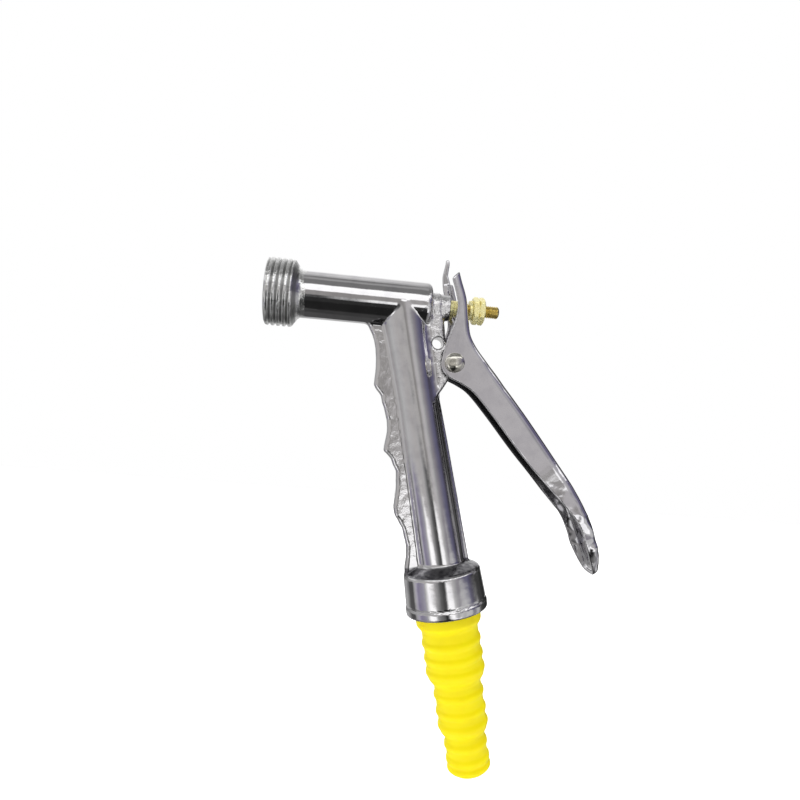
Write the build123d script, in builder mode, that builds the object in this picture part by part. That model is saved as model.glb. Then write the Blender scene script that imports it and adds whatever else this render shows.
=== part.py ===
"""Pistol-grip hose spray nozzle: cast body, rear squeeze lever, spring-closed
valve stem with adjusting nuts, and a stepped plastic hose tail.

Frame: millimetres.  The origin is the centre of the outlet's front face.
+X runs back along the barrel (water leaves along -X), +Z is up and Y runs
across the grip.  The grip leans back by GRIP_RAKE from straight down.
"""
import os
from math import sin, cos, tan, radians, pi

from build123d import *

os.makedirs("parts", exist_ok=True)

# ------------------------------------------------------------ driving sizes
# outlet head with a 3/4 in garden hose thread (11.5 threads per inch)
THREAD_R = 13.45
THREAD_ROOT_R = 12.45
THREAD_PITCH = 2.209
THREAD_LAND = 0.80
THREAD_LEN = 10.4
HEAD_END = 13.4            # where the cone behind the thread meets the barrel
HEAD_BORE_R = 10.0
HEAD_BORE_LEN = 9.0

# barrel and rear boss
BARREL_R = 9.4
BARREL_END = 65.4
BARREL_BORE_R = 6.8
BARREL_BORE_END = 62.5
BOSS_R = 5.3
BOSS_END = 73.0
GLAND_R = 3.3
GLAND_END = 76.3

# grip
GRIP_X = 54.7              # where the grip's axis meets the barrel's axis
GRIP_RAKE = 12.8
GRIP_BORE_R = 5.5
RIB_T = 5.4                # thickness of the scalloped finger rib
BACK_RIB_T = 2.6

# collar at the foot of the grip, female 3/4 in garden hose thread inside
COLLAR_TOP = 107.6
COLLAR_END = 123.6
COLLAR_R_TOP = 15.5
COLLAR_R_END = 16.1
BEAD_R = 16.5
COLLAR_BORE_R = 13.4
COLLAR_BORE_TOP = 110.4

# pivot ear, rivet and lever
PIVOT_X, PIVOT_Z = 75.9, -22.4
EAR_T = 10.0
RIVET_R = 2.0
LEVER_HOLE_R = 2.06
LEVER_W = 7.5              # half width over the cheeks
LEVER_T = 1.2              # sheet thickness
SLOT_HALF = 3.1
SLOT_FLOOR = -4.6
RIVET_HEAD_R = 4.0

# valve stem and what is on it
STEM_R = 2.5
STEM_NECK_R = 2.0
STEM_END = 93.5
SEAT_X = 9.6               # rear face of the outlet seat's rim
ORIFICE_R = 3.3
VALVE_R = 5.5

# return spring
SPRING_FRONT = 38.0
SPRING_REAR = 56.0
SPRING_MEAN_R = 4.6
SPRING_WIRE_R = 0.45
SPRING_TURNS = 7.0

# nuts on the stem's tail
WASHER_X0, WASHER_X1 = 81.0, 82.4
WASHER_R = 4.0
NUT_AF = 10.0              # across flats
NUT_X1 = 84.8
LOCK_X1 = 87.2

# hose tail
TAIL_END = 188.8
TAIL_BORE_R = 5.2
STEP1_R, STEP2_R, STEP3_R = 11.9, 10.1, 8.7

# ------------------------------------------------------------ planes, axes
rk = radians(GRIP_RAKE)
GD = Vector(sin(rk), 0, -cos(rk))          # down the grip
GN = Vector(cos(rk), 0, sin(rk))           # across the grip, to the rear
G0 = Vector(GRIP_X, 0, 0)
# sketch coordinates on GRIP_PLANE are (distance down the grip, offset to the rear)
GRIP_PLANE = Plane(origin=G0, x_dir=GD, z_dir=(0, -1, 0))
GRIP_AXIS = Axis(G0, GD)


def across(t, n=0.0):
    """Plane square to the grip at distance t, its centre n to the rear."""
    return Plane(origin=G0 + GD * t + GN * n, x_dir=GN, z_dir=GD)


def square_to_barrel(x):
    """Plane square to the barrel at x, looking back along +X."""
    return Plane(origin=(x, 0, 0), x_dir=(0, 1, 0), z_dir=(1, 0, 0))


# ------------------------------------------------------------ cast body
def thread_profile():
    pts = [(0, 0), (0, THREAD_R), (THREAD_LAND, THREAD_R)]
    x = THREAD_LAND
    crests = 4
    for k in range(1, crests + 1):
        start = k * THREAD_PITCH
        mid = (x + start) / 2
        pts += [(mid, THREAD_ROOT_R), (start, THREAD_R)]
        x = start + THREAD_LAND
        if k < crests:
            pts.append((x, THREAD_R))
    pts += [(THREAD_LEN, THREAD_R), (HEAD_END - 0.5, BARREL_R + 0.7), (HEAD_END + 0.4, BARREL_R)]
    return pts


with BuildPart() as nozzle_body:
    # outlet head, barrel and rear boss
    with BuildSketch(Plane.XZ):
        with BuildLine():
            Polyline(
                *thread_profile(),
                (BARREL_END - 2.0, BARREL_R),
                (BARREL_END - 0.6, BARREL_R - 0.9),
                (BARREL_END, BARREL_R - 2.4),
                (BARREL_END, BOSS_R + 0.5),
                (BARREL_END + 3.2, BOSS_R + 0.3),
                (BARREL_END + 3.6, BOSS_R),
                (BOSS_END - 0.5, BOSS_R),
                (BOSS_END, BOSS_R - 0.5),
                (BOSS_END, 0),
                close=True,
            )
        make_face()
    revolve(axis=Axis.X)
    # grip tube, swelling to the barrel's width at its top and towards its foot
    with BuildSketch(across(0, -0.8)):
        Circle(9.0)
    with BuildSketch(across(14, -0.7)):
        Circle(8.6)
    with BuildSketch(across(40, -0.35)):
        Circle(8.15)
    with BuildSketch(across(COLLAR_TOP + 2, 0.6)):
        Circle(9.4)
    loft()
    # collar with its cone above and its bead below
    with BuildSketch(GRIP_PLANE):
        with BuildLine():
            Polyline(
                (104.6, 0), (104.6, 9.2), (COLLAR_TOP - 0.6, COLLAR_R_TOP - 1.2), (COLLAR_TOP, COLLAR_R_TOP - 0.4),
                (COLLAR_TOP + 0.6, COLLAR_R_TOP), (119.6, COLLAR_R_END), (120.3, BEAD_R),
                (COLLAR_END - 0.5, BEAD_R), (COLLAR_END, BEAD_R - 0.5), (COLLAR_END, 0),
                close=True,
            )
        make_face()
    revolve(axis=GRIP_AXIS)
    # scalloped finger rib down the front of the grip
    with BuildSketch(Plane.XZ):
        with BuildLine():
            rib_top = Line((52.0, -3.0), (38.6, -5.5))
            rib_edge = Spline(
                (38.6, -5.5), (41.2, -10.5), (43.8, -15.6), (45.1, -22.0), (45.4, -28.5), (45.3, -33.2), (47.6, -37.2),
                (50.6, -42.6), (51.6, -49.0), (51.5, -55.0), (52.0, -60.2), (54.6, -64.0), (57.1, -69.5),
                (57.7, -76.0), (57.5, -82.2), (59.3, -87.0), (62.0, -91.5), (63.5, -97.5), (63.6, -104.0),
                (64.0, -108.6),
            )
            Polyline((64.0, -108.6), (80.0, -106.5), (52.0, -3.0))
        make_face()
    extrude(amount=RIB_T / 2, both=True)
    # low rib down the back of the grip, along the mould's parting line
    with BuildSketch(GRIP_PLANE):
        with BuildLine():
            Polyline((24, 4), (30, 8.0), (39, 8.7), (56, 9.5), (76, 10.3), (92, 10.9), (107, 11.6), (107, 4), close=True)
        make_face()
    extrude(amount=BACK_RIB_T / 2, both=True)
    # pivot ear behind the grip, hung from the rear boss
    with BuildSketch(Plane.XZ):
        with BuildLine():
            Polyline(
                (62.5, -6.0), (66.5, -2.0), (70.9, -3.0), (71.6, -8.5), (72.6, -14.0), (75.2, -16.8), (79.4, -18.2), (81.0, -20.6),
                (81.1, -24.0), (79.2, -26.8), (75.3, -28.4), (71.8, -34.6), (70.0, -38.6), (62.5, -38.0),
                close=True,
            )
        make_face()
    extrude(amount=EAR_T / 2, both=True)
    # small window between grip, boss and ear
    with BuildSketch(Plane.XZ):
        with Locations((69.1, -14.9)):
            Circle(2.2)
    extrude(amount=EAR_T, both=True, mode=Mode.SUBTRACT)
    # rivet hole
    with BuildSketch(Plane.XZ):
        with Locations((PIVOT_X, PIVOT_Z)):
            Circle(RIVET_R)
    extrude(amount=EAR_T, both=True, mode=Mode.SUBTRACT)
    # bores: head recess, barrel, gland hole, grip and collar
    with BuildSketch(Plane.XZ):
        with BuildLine():
            Polyline(
                (-1, 0), (-1, HEAD_BORE_R), (HEAD_BORE_LEN, HEAD_BORE_R), (HEAD_BORE_LEN, BARREL_BORE_R),
                (BARREL_BORE_END, BARREL_BORE_R), (BARREL_BORE_END, GLAND_R), (BOSS_END + 1, GLAND_R), (BOSS_END + 1, 0),
                close=True,
            )
        make_face()
    revolve(axis=Axis.X, mode=Mode.SUBTRACT)
    with BuildSketch(GRIP_PLANE):
        with BuildLine():
            Polyline(
                (1.5, 0), (1.5, GRIP_BORE_R), (COLLAR_BORE_TOP, GRIP_BORE_R), (COLLAR_BORE_TOP, COLLAR_BORE_R),
                (COLLAR_END + 1, COLLAR_BORE_R), (COLLAR_END + 1, 0),
                close=True,
            )
        make_face()
    revolve(axis=GRIP_AXIS, mode=Mode.SUBTRACT)
nozzle_body.part.label = "nozzle_body"
export_step(nozzle_body.part, "parts/nozzle_body.step")

# ------------------------------------------------------------ outlet seat
with BuildPart() as outlet_seat:
    # brass insert pressed into the head, with a raised rim that the valve closes on
    with BuildSketch(Plane.XZ):
        with BuildLine():
            Polyline(
                (3.2, ORIFICE_R + 0.8), (3.2, HEAD_BORE_R - 0.6), (3.8, HEAD_BORE_R), (7.2, HEAD_BORE_R), (7.2, HEAD_BORE_R - 1.5),
                (HEAD_BORE_LEN, HEAD_BORE_R - 1.5), (HEAD_BORE_LEN, ORIFICE_R + 1.4), (SEAT_X, ORIFICE_R + 0.9),
                (SEAT_X, ORIFICE_R), (4.4, ORIFICE_R),
                close=True,
            )
        make_face()
    revolve(axis=Axis.X)
    # two drive notches for the fitting key
    with BuildSketch(square_to_barrel(3.2)):
        with Locations((0, 7.4), (0, -7.4)):
            Rectangle(1.6, 3.0)
    extrude(amount=1.2, mode=Mode.SUBTRACT)
outlet_seat.part.label = "outlet_seat"
export_step(outlet_seat.part, "parts/outlet_seat.step")

with BuildPart() as seat_o_ring:
    with BuildSketch(Plane.XZ):
        with Locations((8.1, HEAD_BORE_R - 0.75)):
            Circle(0.74)
    revolve(axis=Axis.X)
seat_o_ring.part.label = "seat_o_ring"
export_step(seat_o_ring.part, "parts/seat_o_ring.step")

# ------------------------------------------------------------ valve and stem
with BuildPart() as stem:
    with BuildSketch(Plane.XZ):
        with BuildLine():
            Polyline(
                (6.2, 0), (6.2, 1.5), (SEAT_X + 3.0, 1.5), (SEAT_X + 3.0, STEM_NECK_R), (34.6, STEM_NECK_R), (34.6, 1.5),
                (35.4, 1.5), (35.4, STEM_NECK_R), (38.6, STEM_NECK_R), (39.4, STEM_R), (STEM_END - 1.0, STEM_R), (STEM_END - 0.3, STEM_R - 0.5),
                (STEM_END, STEM_R - 1.2), (STEM_END, 0),
                close=True,
            )
        make_face()
    revolve(axis=Axis.X)
stem.part.label = "stem"
export_step(stem.part, "parts/stem.step")

with BuildPart() as valve_cone:
    # tapered brass plug that shapes the jet and clamps the washer
    with BuildSketch(Plane.XZ):
        with BuildLine():
            Polyline(
                (4.0, 0), (4.0, 0.9), (4.6, 1.9), (SEAT_X - 0.4, 2.9), (SEAT_X, 2.9), (SEAT_X, 1.5), (6.2, 1.5), (6.2, 0),
                close=True,
            )
        make_face()
    revolve(axis=Axis.X)
valve_cone.part.label = "valve_cone"
export_step(valve_cone.part, "parts/valve_cone.step")

with BuildPart() as valve_washer:
    with BuildSketch(square_to_barrel(SEAT_X)):
        Circle(VALVE_R)
        Circle(1.5, mode=Mode.SUBTRACT)
    extrude(amount=1.8)
    fillet(valve_washer.edges().filter_by(GeomType.CIRCLE).group_by(SortBy.RADIUS)[-1], 0.25)
valve_washer.part.label = "valve_washer"
export_step(valve_washer.part, "parts/valve_washer.step")

with BuildPart() as valve_disc:
    with BuildSketch(square_to_barrel(SEAT_X + 1.8)):
        Circle(VALVE_R)
        Circle(1.5, mode=Mode.SUBTRACT)
    extrude(amount=1.2)
    chamfer(valve_disc.edges().filter_by(GeomType.CIRCLE).group_by(SortBy.RADIUS)[-1], 0.3)
valve_disc.part.label = "valve_disc"
export_step(valve_disc.part, "parts/valve_disc.step")

with BuildPart() as stem_clip:
    # retaining ring snapped into the stem's groove
    with BuildSketch(square_to_barrel(34.6)):
        Circle(3.6)
        Circle(1.5, mode=Mode.SUBTRACT)
        with Locations((0, -2.6)):
            Rectangle(2.4, 3.4, mode=Mode.SUBTRACT)
    extrude(amount=0.8)
stem_clip.part.label = "stem_clip"
export_step(stem_clip.part, "parts/stem_clip.step")

with BuildPart() as spring_collar:
    # front seat of the spring, held by the clip
    with BuildSketch(Plane.XZ):
        with BuildLine():
            Polyline(
                (35.4, STEM_NECK_R), (35.4, 4.6), (36.2, 5.4), (SPRING_FRONT, 5.4), (SPRING_FRONT, STEM_NECK_R),
                close=True,
            )
        make_face()
    revolve(axis=Axis.X)
spring_collar.part.label = "spring_collar"
export_step(spring_collar.part, "parts/spring_collar.step")

# ------------------------------------------------------------ return spring
spring_len = SPRING_REAR - SPRING_FRONT - 2 * SPRING_WIRE_R
with BuildPart() as return_spring:
    with BuildLine() as spring_path:
        Helix(
            pitch=spring_len / SPRING_TURNS, height=spring_len, radius=SPRING_MEAN_R,
            center=(SPRING_FRONT + SPRING_WIRE_R, 0, 0), direction=(1, 0, 0),
        )
    with BuildSketch(Plane(origin=spring_path.line @ 0, z_dir=spring_path.line % 0)):
        Circle(SPRING_WIRE_R)
    sweep(path=spring_path.line, is_frenet=True)
return_spring.part.label = "return_spring"
export_step(return_spring.part, "parts/return_spring.step")

# ------------------------------------------------------------ rear gland
with BuildPart() as spring_washer:
    with BuildSketch(square_to_barrel(SPRING_REAR)):
        Circle(6.4)
        Circle(STEM_R + 0.08, mode=Mode.SUBTRACT)
    extrude(amount=0.8)
spring_washer.part.label = "spring_washer"
export_step(spring_washer.part, "parts/spring_washer.step")

with BuildPart() as packing_ring:
    with BuildSketch(square_to_barrel(SPRING_REAR + 0.8)):
        Circle(BARREL_BORE_R)
        Circle(STEM_R + 0.03, mode=Mode.SUBTRACT)
    extrude(amount=3.5)
packing_ring.part.label = "packing_ring"
export_step(packing_ring.part, "parts/packing_ring.step")

with BuildPart() as packing_washer:
    with BuildSketch(square_to_barrel(SPRING_REAR + 4.3)):
        Circle(6.6)
        Circle(STEM_R + 0.08, mode=Mode.SUBTRACT)
    extrude(amount=0.9)
packing_washer.part.label = "packing_washer"
export_step(packing_washer.part, "parts/packing_washer.step")

with BuildPart() as gland_bush:
    # flanged brass bush, pushed back through the rear boss from inside
    with BuildSketch(Plane.XZ):
        with BuildLine():
            Polyline(
                (SPRING_REAR + 5.2, STEM_R + 0.06), (SPRING_REAR + 5.2, 6.2), (BARREL_BORE_END, 6.2), (BARREL_BORE_END, GLAND_R),
                (GLAND_END - 0.4, GLAND_R), (GLAND_END, GLAND_R - 0.4), (GLAND_END, STEM_R + 0.06),
                close=True,
            )
        make_face()
    revolve(axis=Axis.X)
gland_bush.part.label = "gland_bush"
export_step(gland_bush.part, "parts/gland_bush.step")

# ------------------------------------------------------------ nuts on the stem's tail
with BuildPart() as thrust_washer:
    with BuildSketch(square_to_barrel(WASHER_X0)):
        Circle(WASHER_R)
        Circle(STEM_R + 0.05, mode=Mode.SUBTRACT)
    extrude(amount=WASHER_X1 - WASHER_X0)
    chamfer(thrust_washer.edges().filter_by(GeomType.CIRCLE).group_by(SortBy.RADIUS)[-1], 0.25)
thrust_washer.part.label = "thrust_washer"
export_step(thrust_washer.part, "parts/thrust_washer.step")

with BuildPart() as adjusting_nut:
    with BuildSketch(square_to_barrel(WASHER_X1)):
        RegularPolygon(NUT_AF / 2, 6, major_radius=False, rotation=30)
        Circle(STEM_R + 0.05, mode=Mode.SUBTRACT)
    extrude(amount=NUT_X1 - WASHER_X1)
adjusting_nut.part.label = "adjusting_nut"
export_step(adjusting_nut.part, "parts/adjusting_nut.step")

with BuildPart() as lock_nut:
    with BuildSketch(square_to_barrel(NUT_X1)):
        RegularPolygon(NUT_AF / 2, 6, major_radius=False, rotation=30)
        Circle(STEM_R + 0.05, mode=Mode.SUBTRACT)
    extrude(amount=LOCK_X1 - NUT_X1)
    # rear corners turned off
    with BuildSketch(Plane.XZ):
        with BuildLine():
            Polyline((LOCK_X1 + 1, 4.6), (LOCK_X1 + 1, 7), (LOCK_X1 - 0.9, 7), (LOCK_X1 - 0.9, 5.9), (LOCK_X1, 5.0), close=True)
        make_face()
    revolve(axis=Axis.X, mode=Mode.SUBTRACT)
lock_nut.part.label = "lock_nut"
export_step(lock_nut.part, "parts/lock_nut.step")

# ------------------------------------------------------------ squeeze lever
# stations down the lever: front edge (x, z), back of the web (x, z), half width
LEVER_STATIONS = [
    ((69.2, 21.2), (72.9, 21.2), LEVER_W),
    ((72.2, 11.2), (76.2, 11.2), LEVER_W),
    ((74.2, 5.4), (78.4, 5.4), LEVER_W),
    ((75.3, 0.6), (79.7, 0.6), LEVER_W),
    ((74.9, -4.6), (80.5, -4.6), LEVER_W),
    ((73.2, -10.4), (81.6, -10.4), LEVER_W),
    ((71.9, -15.0), (84.2, -15.0), LEVER_W),
    ((71.0, -19.8), (88.2, -19.8), LEVER_W),
    ((70.9, -24.6), (92.6, -24.6), LEVER_W),
    ((74.0, -28.2), (95.4, -27.9), LEVER_W),
    ((79.5, -30.6), (97.2, -30.1), LEVER_W),
    ((84.9, -33.9), (98.9, -32.0), LEVER_W),
    ((93.3, -42.7), (101.9, -35.5), LEVER_W),
    ((105.0, -56.0), (113.5, -49.5), LEVER_W + 0.2),
    ((118.1, -69.5), (124.9, -64.4), LEVER_W + 1.0),
    ((124.6, -76.0), (130.3, -72.5), LEVER_W + 2.0),
    ((128.9, -80.8), (133.8, -79.0), LEVER_W + 3.4),
    ((131.9, -86.0), (136.6, -85.4), LEVER_W + 3.9),
    ((134.6, -93.4), (139.1, -92.4), LEVER_W + 2.9),
    ((137.6, -99.4), (140.8, -98.2), LEVER_W + 0.2),
    ((139.8, -103.4), (141.2, -102.4), LEVER_W - 4.6),
]


def channel_section(front, back, w):
    """Plane of one lever station and the eight corners of its U section."""
    f, b = Vector(front[0], 0, front[1]), Vector(back[0], 0, back[1])
    depth = (b - f).length
    plane = Plane(origin=f, x_dir=(0, 1, 0), z_dir=Vector(0, 1, 0).cross((b - f).normalized()))
    t = min(LEVER_T, depth * 0.55)
    return plane, [
        (-w, 0), (-w, depth), (w, depth), (w, 0), (w - t, 0), (w - t, depth - t), (-w + t, depth - t), (-w + t, 0)
    ]


with BuildPart() as lever:
    for front, back, w in LEVER_STATIONS:
        plane, corners = channel_section(front, back, w)
        with BuildSketch(plane):
            with BuildLine():
                Polyline(*corners, close=True)
            make_face()
    loft(ruled=True)
    # fork for the stem, open at the top
    with BuildSketch(Plane.XZ.offset(-SLOT_HALF)):
        with Locations((76, SLOT_FLOOR + 15)):
            Rectangle(20, 30)
    extrude(amount=2 * SLOT_HALF, mode=Mode.SUBTRACT)
    # the near prong is cropped shorter, on a slant
    with BuildSketch(Plane.XZ):
        with BuildLine():
            Polyline((66, 7.6), (72.0, 10.8), (75.1, 14.2), (80, 19), (80, 30), (60, 30), close=True)
        make_face()
    extrude(amount=12, mode=Mode.SUBTRACT)
    # the far prong is taller and narrow, its back and front edges trimmed
    with BuildSketch(Plane.XZ):
        with BuildLine():
            Polyline((84, 7.4), (78.0, 8.0), (75.4, 11.4), (73.4, 14.6), (73.0, 17.4), (73.0, 30), (84, 30), close=True)
        make_face()
        with BuildLine():
            Polyline((60, 12.6), (71.1, 12.6), (71.1, 17.6), (71.3, 30), (60, 30), close=True)
        make_face()
    extrude(amount=-12, mode=Mode.SUBTRACT)
    # rivet holes through both cheeks
    with BuildSketch(Plane.XZ):
        with Locations((PIVOT_X, PIVOT_Z)):
            Circle(LEVER_HOLE_R)
    extrude(amount=12, both=True, mode=Mode.SUBTRACT)
lever.part.label = "lever"
export_step(lever.part, "parts/lever.step")

# ------------------------------------------------------------ pivot rivet and washers
with BuildPart() as pivot_rivet:
    # plain shank with a spherical head closed over each cheek
    y0 = LEVER_W + 0.12                      # underside of the head
    y1 = y0 + 0.5                            # top of its short straight edge
    dome_h = 2.1
    dome_r = (dome_h ** 2 + RIVET_HEAD_R ** 2) / (2 * dome_h)
    dome_c = y1 + dome_h - dome_r
    mid = 0.5 * RIVET_HEAD_R / dome_r
    dome_mid = (dome_c + dome_r * cos(mid), dome_r * sin(mid))
    with BuildSketch(Plane(origin=(PIVOT_X, 0, PIVOT_Z), x_dir=(0, 1, 0), z_dir=(0, 0, -1))):
        with BuildLine():
            Line((-y1 - dome_h, 0), (y1 + dome_h, 0))
            ThreePointArc((y1 + dome_h, 0), dome_mid, (y1, RIVET_HEAD_R))
            Polyline((y1, RIVET_HEAD_R), (y0, RIVET_HEAD_R), (y0, RIVET_R), (-y0, RIVET_R), (-y0, RIVET_HEAD_R), (-y1, RIVET_HEAD_R))
            ThreePointArc((-y1, RIVET_HEAD_R), (-dome_mid[0], dome_mid[1]), (-y1 - dome_h, 0))
        make_face()
    revolve(axis=Axis((PIVOT_X, 0, PIVOT_Z), (0, 1, 0)))
pivot_rivet.part.label = "pivot_rivet"
export_step(pivot_rivet.part, "parts/pivot_rivet.step")

with BuildPart() as pivot_washers:
    # one thin washer each side, between ear and cheek
    for y in (-(EAR_T / 2 + 1.2), EAR_T / 2):
        with BuildSketch(Plane(origin=(PIVOT_X, y, PIVOT_Z), x_dir=(1, 0, 0), z_dir=(0, 1, 0))):
            Circle(4.4)
            Circle(RIVET_R, mode=Mode.SUBTRACT)
        extrude(amount=1.2)
pivot_washers.part.label = "pivot_washers"
export_step(pivot_washers.part, "parts/pivot_washers.step")

# ------------------------------------------------------------ hose tail and its washer
with BuildPart() as hose_washer:
    with BuildSketch(across(COLLAR_BORE_TOP)):
        Circle(COLLAR_BORE_R - 0.2)
        Circle(7.0, mode=Mode.SUBTRACT)
    extrude(amount=2.6)
hose_washer.part.label = "hose_washer"
export_step(hose_washer.part, "parts/hose_washer.step")


def ribs(centres, r, valley, land=0.5, flank=1.6):
    """Rounded ribs as (t, r) points: a flat crest with a slope each side."""
    pts = []
    for c in centres:
        pts += [(c - flank, r - valley), (c - land, r), (c + land, r), (c + flank, r - valley)]
    return pts


with BuildPart() as barb_adapter:
    with BuildSketch(GRIP_PLANE):
        with BuildLine():
            Polyline(
                (COLLAR_BORE_TOP + 2.6, TAIL_BORE_R), (COLLAR_BORE_TOP + 2.6, 12.6), (COLLAR_BORE_TOP + 3.4, COLLAR_BORE_R - 0.05),
                (COLLAR_END, COLLAR_BORE_R - 0.05), (COLLAR_END, 13.1), (128.2, 13.1), (130.6, 11.3),
                *ribs((135.8, 141.7, 147.2), STEP1_R, 0.55),
                (150.0, STEP1_R - 0.7), (152.6, 9.45),
                *ribs((156.8, 163.4, 168.9), STEP2_R, 0.6),
                (171.4, STEP2_R - 0.7), (173.4, 7.95),
                *ribs((176.8, 182.7), STEP3_R, 0.6),
                (185.0, STEP3_R - 0.5), (185.7, STEP3_R), (186.6, STEP3_R), (187.7, STEP3_R - 0.9), (188.4, 6.9),
                (TAIL_END, TAIL_BORE_R + 0.7), (TAIL_END, TAIL_BORE_R),
                close=True,
            )
        make_face()
    revolve(axis=GRIP_AXIS)
barb_adapter.part.label = "barb_adapter"
export_step(barb_adapter.part, "parts/barb_adapter.step")
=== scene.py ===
"""Looks for the pistol-grip hose spray nozzle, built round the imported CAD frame.

Shapes are worked out in millimetres, in the CAD part's own frame, and turned
into metres when each mesh is made.  The origin is the outlet's front face, +X
runs back along the barrel and +Z is up.
"""
from math import sin, cos, tan, pi, radians, sqrt, hypot, atan2

import bpy
import numpy as np
import openvdb
from mathutils import Matrix, Vector


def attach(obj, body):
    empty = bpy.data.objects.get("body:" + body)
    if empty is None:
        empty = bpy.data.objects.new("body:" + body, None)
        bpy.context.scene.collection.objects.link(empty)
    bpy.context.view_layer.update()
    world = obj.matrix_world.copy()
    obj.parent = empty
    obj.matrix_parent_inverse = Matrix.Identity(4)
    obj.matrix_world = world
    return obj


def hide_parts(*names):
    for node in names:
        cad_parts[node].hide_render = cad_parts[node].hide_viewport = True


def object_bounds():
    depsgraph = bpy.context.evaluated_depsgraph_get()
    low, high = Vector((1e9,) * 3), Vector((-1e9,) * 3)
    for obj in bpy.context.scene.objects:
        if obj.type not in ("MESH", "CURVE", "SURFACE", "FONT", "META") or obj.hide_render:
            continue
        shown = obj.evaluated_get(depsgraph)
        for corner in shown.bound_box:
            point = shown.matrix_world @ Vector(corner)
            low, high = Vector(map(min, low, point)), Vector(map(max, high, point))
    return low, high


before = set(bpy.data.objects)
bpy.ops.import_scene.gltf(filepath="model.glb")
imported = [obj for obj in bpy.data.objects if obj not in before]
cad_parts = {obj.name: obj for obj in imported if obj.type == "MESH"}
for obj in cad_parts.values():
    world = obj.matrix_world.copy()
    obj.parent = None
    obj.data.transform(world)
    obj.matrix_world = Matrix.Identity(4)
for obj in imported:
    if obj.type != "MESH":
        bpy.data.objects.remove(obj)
cad_lo, cad_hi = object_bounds()

MM = 0.001
RAKE = radians(12.8)
GRIP_X = 54.7
GD = (sin(RAKE), -cos(RAKE))        # down the grip, in (x, z)
GN = (cos(RAKE), sin(RAKE))         # across the grip, to the rear, in (x, z)
PIVOT = (75.9, -22.4)


# ------------------------------------------------------------------ camera
CAM_POS = Vector((34.7085, -260.0, -45.2544)) * MM
FWD = Vector((0.08246511, 0.99627067, 0.02538221)).normalized()
RIGHT = Vector((0.99294458, -0.08431409, 0.08337989)).normalized()
UP = RIGHT.cross(FWD).normalized()
cam_data = bpy.data.cameras.new("camera")
cam_data.lens = 29.25
cam_data.sensor_width = 36.0
cam_data.sensor_fit = "HORIZONTAL"
cam_data.clip_start = 0.01
cam_data.clip_end = 50.0
cam = bpy.data.objects.new("camera", cam_data)
cam.matrix_world = Matrix((
    (RIGHT.x, UP.x, -FWD.x, CAM_POS.x),
    (RIGHT.y, UP.y, -FWD.y, CAM_POS.y),
    (RIGHT.z, UP.z, -FWD.z, CAM_POS.z),
    (0, 0, 0, 1),
))
bpy.context.scene.collection.objects.link(cam)
bpy.context.scene.camera = cam
bpy.context.scene.view_settings.view_transform = "Standard"
bpy.context.scene.view_settings.look = "None"


# ------------------------------------------------------- distance functions
def smin(a, b, k):
    h = np.maximum(k - np.abs(a - b), 0.0) / k
    return np.minimum(a, b) - h * h * k * 0.25


def smax(a, b, k):
    return -smin(-a, -b, k)


def poly2(x, y, pts):
    """Signed distance to a closed polygon, negative inside."""
    pts = np.asarray(pts, float)
    best, inside = None, None
    for i in range(len(pts)):
        ax, ay = pts[i]
        bx, by = pts[(i + 1) % len(pts)]
        ex, ey = bx - ax, by - ay
        wx, wy = x - ax, y - ay
        t = np.clip((wx * ex + wy * ey) / (ex * ex + ey * ey + 1e-12), 0, 1)
        d = (wx - ex * t) ** 2 + (wy - ey * t) ** 2
        best = d if best is None else np.minimum(best, d)
        if abs(ey) > 1e-9:
            flip = ((ay > y) != (by > y)) & (x < ax + (y - ay) / ey * ex)
            inside = flip if inside is None else inside ^ flip
    return np.where(inside, -1.0, 1.0) * np.sqrt(best)


def curve(pts, per=6):
    """Catmull-Rom curve through points, as a dense list."""
    p = np.asarray(pts, float)
    q = np.vstack([2 * p[0] - p[1], p, 2 * p[-1] - p[-2]])
    out = []
    for i in range(1, len(q) - 2):
        for s in range(per):
            u = s / per
            out.append(0.5 * ((2 * q[i]) + (q[i + 1] - q[i - 1]) * u + (2 * q[i - 1] - 5 * q[i] + 4 * q[i + 1] - q[i + 2]) * u * u
                              + (3 * q[i] - q[i - 1] - 3 * q[i + 1] + q[i + 2]) * u ** 3))
    out.append(p[-1])
    return np.array(out)


def table(ts, vs, sigma, step=0.05, pad=3.0):
    """Linear values over t, rounded off by a Gaussian of the given width."""
    t = np.arange(min(ts) - pad, max(ts) + pad, step)
    v = np.interp(t, ts, vs)
    if sigma > 0:
        m = int(4 * sigma / step)
        k = np.exp(-0.5 * (np.arange(-m, m + 1) * step / sigma) ** 2)
        v = np.convolve(np.pad(v, m, mode="edge"), k / k.sum(), mode="valid")
    return t, v


rng = np.random.default_rng(7)


def waves(n, lo, hi):
    """Fixed random plane waves: a smooth, repeatable unevenness."""
    d = rng.normal(size=(n, 3))
    d /= np.linalg.norm(d, axis=1)[:, None]
    lam = rng.uniform(lo, hi, n)
    return d * (2 * pi / lam)[:, None], rng.uniform(0, 2 * pi, n)


def wobble(w, x, y, z):
    ks, ph = w
    s = 0.0
    for (a, b, c), p in zip(ks, ph):
        s = s + np.sin(a * x + b * y + c * z + p)
    return s / sqrt(len(ph))


CAST = waves(7, 9.0, 26.0)
LUMP = waves(14, 2.2, 5.0)
PRESS = waves(6, 14.0, 40.0)
DENT = waves(7, 7.0, 13.0)


def mesh_from(name, verts_mm, faces, normals=None, smooth_angle=None):
    me = bpy.data.meshes.new(name)
    v = np.asarray(verts_mm, float) * MM
    me.from_pydata(v.tolist(), [], [list(map(int, f)) for f in faces])
    me.update()
    me.shade_smooth()
    if normals is not None:
        me.normals_split_custom_set_from_vertices([tuple(q) for q in normals])
    elif smooth_angle is not None:
        me.set_sharp_from_angle(angle=radians(smooth_angle))
    ob = bpy.data.objects.new(name, me)
    bpy.context.scene.collection.objects.link(ob)
    return ob


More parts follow.
